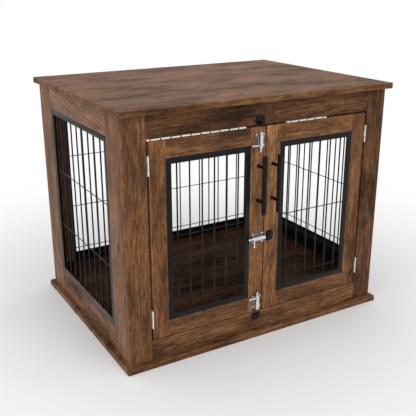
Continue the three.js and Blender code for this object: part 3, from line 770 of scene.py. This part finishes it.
def build_panel(node, plan, settings):
    low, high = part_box(node)
    out, count, end_share, rungs, rung_side = plan
    across = UP.cross(out)
    size = high - low
    half_x, half_y, leg = abs(size.dot(across)) / 2, size.z / 2, abs(size.dot(out))
    bm = bmesh.new()
    angle_frame(bm, half_x, half_y, leg, settings)

    reach_x, reach_y = half_x - settings.thickness / 2, half_y - settings.thickness / 2
    gaps = count - 1 + 2 * end_share
    pitch = 2 * (half_x - settings.flange) / gaps
    columns = [(index - (count - 1) / 2) * pitch for index in range(count)]
    rows = [height + settings.flange - half_y for height in rungs]
    upright_z = -settings.depth
    spacing = (settings.upright + settings.rung) / 2 - settings.bite
    rung_z = upright_z + rung_side * spacing
    for x in columns:
        ends = (x, -reach_y, upright_z), (x, reach_y, upright_z)
        rod(bm, settings.upright / 2, *ends, UPRIGHT_SIDES)
    for y in rows:
        rod(bm, settings.rung / 2, (-reach_x, y, rung_z), (reach_x, y, rung_z), RUNG_SIDES)
        for x in columns:
            weld = Matrix.Translation((x, y, (upright_z + rung_z) / 2))
            radius = settings.rung * WELD
            bmesh.ops.create_icosphere(bm, subdivisions=1, radius=radius, matrix=weld)
    place = stand((low + high) / 2 + out * leg / 2, across, UP, out)
    finish_piece(bm, node.replace("mesh_panel", "wire_panel"), ["Black Coat"], place, node)


# ---- Hinges ----

KNUCKLE_SIDES, PIN_SIDES = 20, 16

# Length of the first knuckle of each piano hinge, up to the middle of its gap.
FIRST_KNUCKLES = {"left": 0.0085, "right": 0.011}


def knuckle_spans(length, first, pitch, gap):
    ends = []
    end = first
    while end < length - 2 * gap:
        ends.append(end)
        end += pitch
    starts = [0] + [end + gap / 2 for end in ends]
    return list(zip(starts, [end - gap / 2 for end in ends] + [length]))


def build_leaf(node, name, axis, along, side, spans, pinned, settings):
    """A hinge's leaf with its own knuckles, rolled from one strip. The pin is in one of the two."""
    low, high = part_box(node)
    length = abs((high - low).dot(along))
    reach = high.y - axis.y
    radius = settings.barrel / 2
    near = side * settings.spacing / 2
    left, right = sorted((near, near + side * settings.leaf))
    start = radius + settings.clearance + settings.notch
    bm = bmesh.new()
    bore = 0 if pinned else settings.bore / 2
    block(bm, (left, 0, -reach), (right, length, -start), LEAF_EDGE)
    for low_end, high_end in spans:
        block(bm, (left, low_end, -start - settings.leaf), (right, high_end, 0), LEAF_EDGE)
        knuckle = tube(radius, bore, low_end, high_end, LEAF_EDGE)
        lathe(bm, knuckle, KNUCKLE_SIDES, ALONG_Y, closed=not pinned)
    if pinned:
        # The steel pin takes the black second metal as painted shade in the gaps between the
        # knuckles.
        older = set(bm.verts)
        lathe(bm, round_bar(settings.pin / 2, 0, length, LEAF_EDGE), PIN_SIDES, ALONG_Y)
        mark_second(bm, older)
    across = along.cross(FRONT)
    finish_piece(bm, name, ["White Zinc", "Black Coat"], stand(axis, across, along, FRONT), node)


def joint_place(name):
    return next(joint["pos_m"] for joint in frame["joints"] if joint["name"] == name)


def piano_leaves(label, settings):
    fixed, moving = (f"piano_hinge_{label}_{part}_leaf" for part in ("fixed", "moving"))
    low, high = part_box(fixed)
    axis = Vector((low.x, *joint_place("front_lift")[1:]))
    spans = knuckle_spans(
        high.x - low.x, FIRST_KNUCKLES[label], settings.piano_pitch, settings.piano_gap)
    build_leaf(fixed, f"{label}_piano_fixed", axis, RIGHT, -1, spans[::2], True, settings)
    build_leaf(moving, f"{label}_piano_moving", axis, RIGHT, 1, spans[1::2], False, settings)


def butt_leaves(label, level, side, settings):
    frame_leaf, door_leaf = (f"{label}_{level}_hinge_{part}_leaf" for part in ("frame", "door"))
    low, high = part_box(frame_leaf)
    axis = Vector((*joint_place(f"{label}_door_swing")[:2], low.z))
    third = (high.z - low.z) / 3
    spans = knuckle_spans(high.z - low.z, third, third, settings.butt_gap)
    name = f"{label}_{level}_butt"
    build_leaf(frame_leaf, f"{name}_frame", axis, UP, side, spans[::2], True, settings)
    build_leaf(door_leaf, f"{name}_door", axis, UP, -side, spans[1::2], False, settings)


# ---- Handles ----

BAR_SIDES, POST_SIDES = 40, 24
BAR_ROUNDING = 0.001

# The collar at a post's foot, as width beyond the stem and height, and the post's depth in the bar.
POST_FOOT = ((0.0010, 0), (0.0012, 0.0002), (0.0012, 0.0010), (0.0009, 0.0013), (0, 0.0015))
POST_SINK = 0.0012


def build_handle(node, settings):
    low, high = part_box(node)
    middle = (low + high) / 2
    radius = settings.bar / 2
    standoff = high.y - low.y - radius
    half = (high.z - low.z) / 2
    stem = settings.post / 2
    bm = bmesh.new()
    upright = Matrix.Translation((0, 0, standoff)) @ ALONG_Y
    lathe(bm, round_bar(radius, -half, half, BAR_ROUNDING), BAR_SIDES, upright)
    post = [(0, 0), *((stem + past, height) for past, height in POST_FOOT),
            (stem, standoff - radius + POST_SINK), (stem, standoff), (0, standoff)]
    for way in (-1, 1):
        place = Matrix.Translation((0, way * settings.post_spacing / 2, 0))
        lathe(bm, post, POST_SIDES, place)
    place = stand((middle.x, high.y, middle.z), RIGHT, UP, FRONT)
    finish_piece(bm, node.replace("door_handle", "bar_handle"), ["Black Coat"], place, node)


# ---- Screws ----

# Cells along the grid that a head is bent from, share of the height below the dome, roundness of
# the dome and depth of the cross over the height. Half width and reach of the cross over the head's
# radius. Depth of the foot in the plate.
HEAD_CELLS, SKIRT, DOME, CROSS_DEPTH = 7, 0.35, 0.98, 0.55
CROSS_HALF, CROSS_REACH = 0.1, 0.65
SCREW_SINK = 0.0002


def pan_head(bm, x, y, settings):
    """A domed screw head with a cross recess, raised from a grid that is bent into a disc."""
    older = set(bm.verts)
    radius, top = settings.screw / 2, settings.screw_height
    skirt = top * SKIRT
    bmesh.ops.create_grid(bm, x_segments=HEAD_CELLS, y_segments=HEAD_CELLS, size=1)
    verts = newer(bm, older)
    arms = []
    for face in faces_of(verts):
        narrow, wide = sorted(abs(value) for value in face.calc_center_median().xy)
        if narrow < CROSS_HALF and wide < CROSS_REACH:
            arms.append(face)
    for vert in verts:
        u, v, _ = vert.co
        across, along = u * math.sqrt(1 - v * v / 2), v * math.sqrt(1 - u * u / 2)
        dome = math.sqrt(max(0, 1 - DOME * (across ** 2 + along ** 2)))
        vert.co = (across * radius, along * radius, skirt + (top - skirt) * dome)
    rim = list({edge for vert in verts for edge in vert.link_edges if edge.is_boundary})
    skirted = bmesh.ops.extrude_edge_only(bm, edges=rim)["geom"]
    for vert in only_verts(skirted):
        vert.co.z = -SCREW_SINK
    bmesh.ops.contextual_create(bm, geom=open_edges(skirted))
    sunk = bmesh.ops.extrude_face_region(bm, geom=arms)["geom"]
    bmesh.ops.translate(bm, vec=(0, 0, -top * CROSS_DEPTH), verts=only_verts(sunk))
    bmesh.ops.delete(bm, geom=arms, context="FACES")
    bmesh.ops.translate(bm, vec=(x, y, settings.plate), verts=newer(bm, older))


# ---- Barrel bolts ----

# The way that each bolt is thrown and the side of its knob, in the drawing's own x.
BOLTS = {"top": (UP, -1), "middle": (RIGHT, 1), "bottom": (DOWN, 1)}

# Strips of the barrel's section, counted from its edge, that a slot takes out.
SLOT_STRIPS = range(1, 5)
ARC_STEPS, WAIST_STEPS, KNOB_STEPS = 5, 6, 5

# Reaches of the curved corners of the housings' plates, at the ends and along the waist, and of the
# keepers' plates, beside the hoop and away from it.
PLATE_CORNER, WAIST_CORNER = 0.0022, 0.0007
KEEPER_CORNERS = (0.001, 0.001, 0.0105, 0.0105)

BOLT_SIDES, KNOB_SIDES = 28, 24
BOLT_ROUNDING = 0.0009

# Length of a knob's head, its groove's half width and radius over the stem's, and its chamfer.
KNOB_LENGTH, GROOVE, GROOVE_SHARE, KNOB_CHAMFER = 0.007, 0.0004, 0.82, 0.0006


def arch_section(radius, axis, half_slot):
    """Half of an arch, from the plate up its leg and round to the top, as x and z."""
    rise = math.asin(half_slot / radius)
    arc = (rise + (math.pi / 2 - rise) * step / ARC_STEPS for step in range(ARC_STEPS + 1))
    turns = [0, rise / 2, *arc]
    legs = [(radius, 0), (radius, axis - half_slot)]
    return legs + [(radius * math.cos(turn), axis + radius * math.sin(turn)) for turn in turns]


def archway(bm, radius, bore, near, far, settings, slot_side=0):
    """A barrel with straight legs down to the plate, bent from a grid. A slot can open one side."""
    axis, half_slot = settings.axis_height, settings.slot / 2
    half = arch_section(radius, axis, half_slot)
    section = half + [(-x, z) for x, z in reversed(half[:-1])]
    stations = [near, far]
    if slot_side:
        lead = settings.knob_lead
        stations = [near, half_slot - lead, -lead - settings.throw - half_slot, far]
    columns, rows = len(section) - 1, len(stations) - 1
    older = set(bm.verts)
    bmesh.ops.create_grid(bm, x_segments=columns, y_segments=rows, size=1)
    verts = newer(bm, older)
    opened = []
    for face in faces_of(verts):
        middle = face.calc_center_median()
        column, row = int((middle.x + 1) / 2 * columns), int((middle.y + 1) / 2 * rows)
        strip = column if slot_side > 0 else columns - 1 - column
        if slot_side and row == 1 and strip in SLOT_STRIPS:
            opened.append(face)
    for vert in verts:
        column, row = round((vert.co.x + 1) / 2 * columns), round((vert.co.y + 1) / 2 * rows)
        x, z = section[column]
        vert.co = (x, stations[row], z)
    bmesh.ops.delete(bm, geom=opened, context="FACES")
    faces = faces_of(newer(bm, older))
    drawn = bmesh.ops.extrude_face_region(bm, geom=faces, use_keep_orig=True)["geom"]
    for vert in only_verts(drawn):
        x, y, z = vert.co
        rises = z > axis + CLOSE
        vert.co = (x * bore / radius, y, axis + (z - axis) * bore / radius if rises else z)
    made = newer(bm, older)
    bmesh.ops.recalc_face_normals(bm, faces=faces_of(made))
    soften(bm, made, STEEL_EDGE, angle=50)


def housing_outline(width, length, settings):
    """The housing's plate: straight ends with rounded corners, drawn in to a waist between them."""
    half, waist, ear = width / 2, settings.waist / 2, settings.ear
    shares = (step / WAIST_STEPS for step in range(1, WAIST_STEPS))
    side = [(waist + (half - waist) * (2 * share - 1) ** 2, -ear - (length - 2 * ear) * share)
            for share in shares]
    right = [(half, 0), (half, -ear), *side, (half, ear - length), (half, -length)]
    points = right + [(-x, y) for x, y in reversed(right)]
    reaches = [PLATE_CORNER] + [WAIST_CORNER] * (len(right) - 2) + [PLATE_CORNER]
    return rounded(points, reaches + reaches, steps=3)


def bolt_place(node, throw, leading):
    """The place of the leading or trailing end of a plate on the door or frame, and its sizes."""
    low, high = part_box(node)
    size, middle = high - low, (low + high) / 2
    length = abs(size.dot(throw))
    across = throw.cross(FRONT)
    origin = middle + throw * length / 2 * leading
    origin.y = high.y
    return stand(origin, across, throw, FRONT), abs(size.dot(across)), length


def build_housing(label, settings):
    node = f"{label}_bolt_housing"
    throw, knob_side = BOLTS[label]
    place, width, length = bolt_place(node, throw, 1)
    bm = bmesh.new()
    slab(bm, housing_outline(width, length, settings), 0, settings.plate, PLATE_EDGE)
    # The plate takes the darkened steel, a painted shade for its dark reflection.
    mark_second(bm, set())
    archway(bm, settings.housing / 2, settings.housing_bore / 2, 0, -length, settings, knob_side)
    inset = settings.screw_edge
    for x in (inset - width / 2, width / 2 - inset):
        for y in (-inset, inset - length):
            pan_head(bm, x, y, settings)
    finish_piece(bm, f"{label}_housing", ["Bright Steel", "Dull Steel"], place, node)


def build_bolt(label, settings):
    """The bolt, drawn back: a rod with rounded ends and a turned knob."""
    throw, knob_side = BOLTS[label]
    place = bolt_place(f"{label}_bolt_housing", throw, 1)[0]
    bm = bmesh.new()
    lift = Matrix.Translation((0, 0, settings.axis_height))
    tail = settings.tip - settings.bolt_length
    shank = round_bar(settings.bolt / 2, tail, settings.tip, BOLT_ROUNDING)
    lathe(bm, shank, BOLT_SIDES, lift @ ALONG_Y)
    stem, head, reach = settings.knob_stem / 2, settings.knob_head / 2, settings.knob_reach
    start = reach - KNOB_LENGTH
    cap = [(head * math.cos(turn), reach - head + head * math.sin(turn))
           for turn in (math.pi / 2 * step / KNOB_STEPS for step in range(KNOB_STEPS))]
    knob = [(0, 0), (stem, 0), (stem, start - 2 * GROOVE), (stem * GROOVE_SHARE, start - GROOVE),
            (stem, start), (head, start + KNOB_CHAMFER), *cap, (0, reach)]
    back = Matrix.Translation((0, -settings.knob_lead - settings.throw, settings.axis_height))
    lathe(bm, knob, KNOB_SIDES, back @ Matrix.Rotation(knob_side * math.pi / 2, 4, "Y"))
    finish_piece(bm, f"{label}_rod", ["Bright Steel"], place, f"{label}_bolt")


def build_keeper(label, settings):
    node = f"{label}_bolt_keeper"
    place, width, length = bolt_place(node, BOLTS[label][0], -1)
    half = width / 2
    bm = bmesh.new()
    corners = [(-half, 0), (half, 0), (half, length), (-half, length)]
    plate = rounded(corners, KEEPER_CORNERS, steps=8)
    slab(bm, plate, 0, settings.plate, PLATE_EDGE)
    bore, inset = settings.hoop / 2, settings.hoop_inset
    archway(bm, bore + settings.hoop_metal, bore, inset + settings.hoop_width, inset, settings)
    for x in (settings.screw_edge - half, half - settings.screw_edge):
        pan_head(bm, x, settings.keeper_screw, settings)
    finish_piece(bm, f"{label}_keeper", ["Black Coat"], place, node)


# ---- Stage ----

# Each lamp's direction from the crate and its size, and the distance that they share.
LAMPS = {
    "key": ((0.1, -1, 1.2), 1.2),
    "fill": ((-1, -0.1, 0.65), 1.4),
    "top": ((-0.1, 0.2, 1), 2.0),
}
LAMP_DISTANCE = 3.0

# Half the floor's width, the distances from the crate where it starts to fade and is white, and its
# finish.
FLOOR_REACH = 60
FADE_START, FADE_END = 0.5, 1.45
FLOOR_ROUGHNESS, FLOOR_SHEEN = 0.9, 0.1

# Width of the camera's sensor in millimetres.
SENSOR_WIDTH = 36


def soft_lamp(name, aim, direction, size, power):
    """A square soft lamp that shines at a point from a direction."""
    light = bpy.data.lights.new(name, "AREA")
    light.size = size
    light.energy = power
    lamp = add_object(name, light)
    lamp.location = aim + direction.normalized() * LAMP_DISTANCE
    lamp.rotation_mode = "QUATERNION"
    lamp.rotation_quaternion = direction.to_track_quat("Z", "Y")


def floor_material(settings):
    """A pale floor that keeps the shadow near the crate and fades to white further off."""
    material, tree, shader = principled("Studio Floor")
    plug_all(tree, {"Base Color": opaque([settings.floor] * 3), "Roughness": FLOOR_ROUGHNESS,
                    "Specular IOR Level": FLOOR_SHEEN}, shader)
    place = add_node(tree, "ShaderNodeTexCoord").outputs["Object"]
    fade = ramp(tree, vector_maths(tree, "LENGTH", place), FADE_START, FADE_END)
    white = add_node(tree, "ShaderNodeEmission", {"Color": (1, 1, 1, 1), "Strength": 1.0})
    seen = add_node(tree, "ShaderNodeLightPath").outputs
    faded = maths(tree, "MULTIPLY", fade, seen["Is Camera Ray"])
    whitened = maths(tree, "MAXIMUM", faded, seen["Is Glossy Ray"])
    both = add_node(tree, "ShaderNodeMixShader", {0: whitened})
    tree.links.new(tree.nodes["Principled BSDF"].outputs["BSDF"], both.inputs[1])
    tree.links.new(white.outputs["Emission"], both.inputs[2])
    tree.links.new(both.outputs["Shader"], tree.nodes["Material Output"].inputs["Surface"])
    return material


def studio_world(settings):
    """White where it is seen or mirrored, and an even light of its own strength elsewhere."""
    world = bpy.data.worlds.new("Studio")
    world.use_nodes = True
    tree = world.node_tree
    seen = add_node(tree, "ShaderNodeLightPath").outputs
    mirrored = maths(tree, "MAXIMUM", seen["Is Glossy Ray"], seen["Is Transmission Ray"])
    direct = maths(tree, "MAXIMUM", seen["Is Camera Ray"], mirrored)
    strength = maths(tree, "MULTIPLY_ADD", direct, 1 - settings.sky, settings.sky)
    background = tree.nodes["Background"].inputs
    background["Color"].default_value = (1, 1, 1, 1)
    tree.links.new(strength, background["Strength"])
    bpy.context.scene.world = world


def studio_floor(settings):
    bm = bmesh.new()
    bmesh.ops.create_grid(bm, x_segments=1, y_segments=1, size=FLOOR_REACH)
    mesh = bpy.data.meshes.new("studio_floor")
    bm.to_mesh(mesh)
    bm.free()
    mesh.materials.append(floor_material(settings))
    floor = add_object("studio_floor", mesh)


def place_camera(settings):
    sine, cosine = math.sin(settings.elevation), math.cos(settings.elevation)
    back = Vector((math.sin(settings.azimuth) * cosine, -math.cos(settings.azimuth) * cosine, sine))
    data = bpy.data.cameras.new("camera")
    data.sensor_width = SENSOR_WIDTH
    data.lens = settings.focal_length
    camera = add_object("camera", data)
    camera.location = Vector((0, 0, settings.target_height)) + back * settings.distance
    camera.rotation_mode = "QUATERNION"
    turn = (-back).to_track_quat("-Z", "Y")
    camera.rotation_quaternion = turn @ Matrix.Rotation(settings.roll, 4, "Z").to_quaternion()
    bpy.context.scene.camera = camera


# ---- Operators ----


class CRATE_OT_metals(bpy.types.Operator):
    """Make the black, zinc and steel finishes"""

    bl_idname = "crate.metals"
    bl_label = "Metal Finishes"

    def execute(self, context):
        group = metal_group()
        for name, look in METALS.items():
            metal_material(name, group, look)
        return {"FINISHED"}


class CRATE_OT_timber(bpy.types.Operator):
    """Give every board its rustic timber, with the grain along its length"""

    bl_idname = "crate.timber"
    bl_label = "Timber Boards"

    def execute(self, context):
        rustic_group()
        edge_group()
        slots = {part["node"]: part["material_slot"] for part in frame["record"]["subparts"]}
        boards = sorted(node for node in frame["nodes"] if slots[node] in TIMBER_SLOTS)
        for index, node in enumerate(boards):
            material = board_material(node, index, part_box(node), context.scene.crate_timber)
            for slot in frame["nodes"][node].material_slots:
                slot.material = material
        return {"FINISHED"}


class CRATE_OT_raised_floor(bpy.types.Operator):
    """Build the raised floor on its bearers"""

    bl_idname = "crate.raised_floor"
    bl_label = "Raised Floor"

    def execute(self, context):
        raised_floor(context.scene.crate_timber, context.scene.crate_floor)
        return {"FINISHED"}


class CRATE_OT_panels(bpy.types.Operator):
    """Build the five wire panels: angle frames round welded wires"""

    bl_idname = "crate.panels"
    bl_label = "Wire Panels"

    def execute(self, context):
        for node, plan in PANELS.items():
            build_panel(node, plan, context.scene.crate_panels)
        return {"FINISHED"}


class CRATE_OT_hinges(bpy.types.Operator):
    """Build the piano hinges and butt hinges with their knuckles and pins"""

    bl_idname = "crate.hinges"
    bl_label = "Hinges"

    def execute(self, context):
        settings = context.scene.crate_hinges
        for label in FIRST_KNUCKLES:
            piano_leaves(label, settings)
        for label, side in (("left", -1), ("right", 1)):
            for level in ("upper", "lower"):
                butt_leaves(label, level, side, settings)
        return {"FINISHED"}


class CRATE_OT_handles(bpy.types.Operator):
    """Build the two bar handles"""

    bl_idname = "crate.handles"
    bl_label = "Bar Handles"

    def execute(self, context):
        for node in ("left_door_handle", "right_door_handle"):
            build_handle(node, context.scene.crate_hardware)
        return {"FINISHED"}


class CRATE_OT_bolts(bpy.types.Operator):
    """Build the three barrel bolts and their keepers"""

    bl_idname = "crate.bolts"
    bl_label = "Barrel Bolts"

    def execute(self, context):
        for label in BOLTS:
            for build in (build_housing, build_bolt, build_keeper):
                build(label, context.scene.crate_hardware)
        return {"FINISHED"}


class CRATE_OT_stage(bpy.types.Operator):
    """Set up the camera, the pale floor and the soft lamps"""

    bl_idname = "crate.stage"
    bl_label = "Stage"

    def execute(self, context):
        settings = context.scene.crate_stage
        studio_floor(settings)
        studio_world(settings)
        middle = Vector((0, 0, settings.target_height))
        for name, (direction, size) in LAMPS.items():
            soft_lamp(f"{name}_lamp", middle, Vector(direction), size, getattr(settings, name))
        place_camera(settings)
        context.scene.view_settings.view_transform = "Standard"
        return {"FINISHED"}


# ---- Panel and registration ----

STEPS = (
    CRATE_OT_metals, CRATE_OT_timber, CRATE_OT_raised_floor, CRATE_OT_panels, CRATE_OT_hinges,
    CRATE_OT_handles, CRATE_OT_bolts, CRATE_OT_stage,
)

GROUPS = {
    "crate_timber": CrateTimberSettings,
    "crate_floor": CrateFloorSettings,
    "crate_panels": CratePanelSettings,
    "crate_hinges": CrateHingeSettings,
    "crate_hardware": CrateHardwareSettings,
    "crate_stage": CrateStageSettings,
}


class CRATE_PT_panel(bpy.types.Panel):
    """Lists the crate's settings and steps"""

    bl_idname = "CRATE_PT_panel"
    bl_label = "Crate End Table"
    bl_space_type = "VIEW_3D"
    bl_region_type = "UI"
    bl_category = "Crate"

    def draw(self, context):
        for step in STEPS:
            self.layout.operator(step.bl_idname)
        for name in GROUPS:
            settings = getattr(context.scene, name)
            box = self.layout.box()
            for label in settings.__annotations__:
                box.prop(settings, label)


def register():
    for cls in (*GROUPS.values(), *STEPS, CRATE_PT_panel):
        bpy.utils.register_class(cls)
    for name, cls in GROUPS.items():
        setattr(bpy.types.Scene, name, bpy.props.PointerProperty(type=cls))


def unregister():
    for name in GROUPS:
        delattr(bpy.types.Scene, name)
    for cls in (CRATE_PT_panel, *reversed(STEPS), *reversed(list(GROUPS.values()))):
        bpy.utils.unregister_class(cls)


def main():
    register()
    for step in STEPS:
        group, name = step.bl_idname.split(".")
        getattr(getattr(bpy.ops, group), name)()


if __name__ == "__main__":
    main()
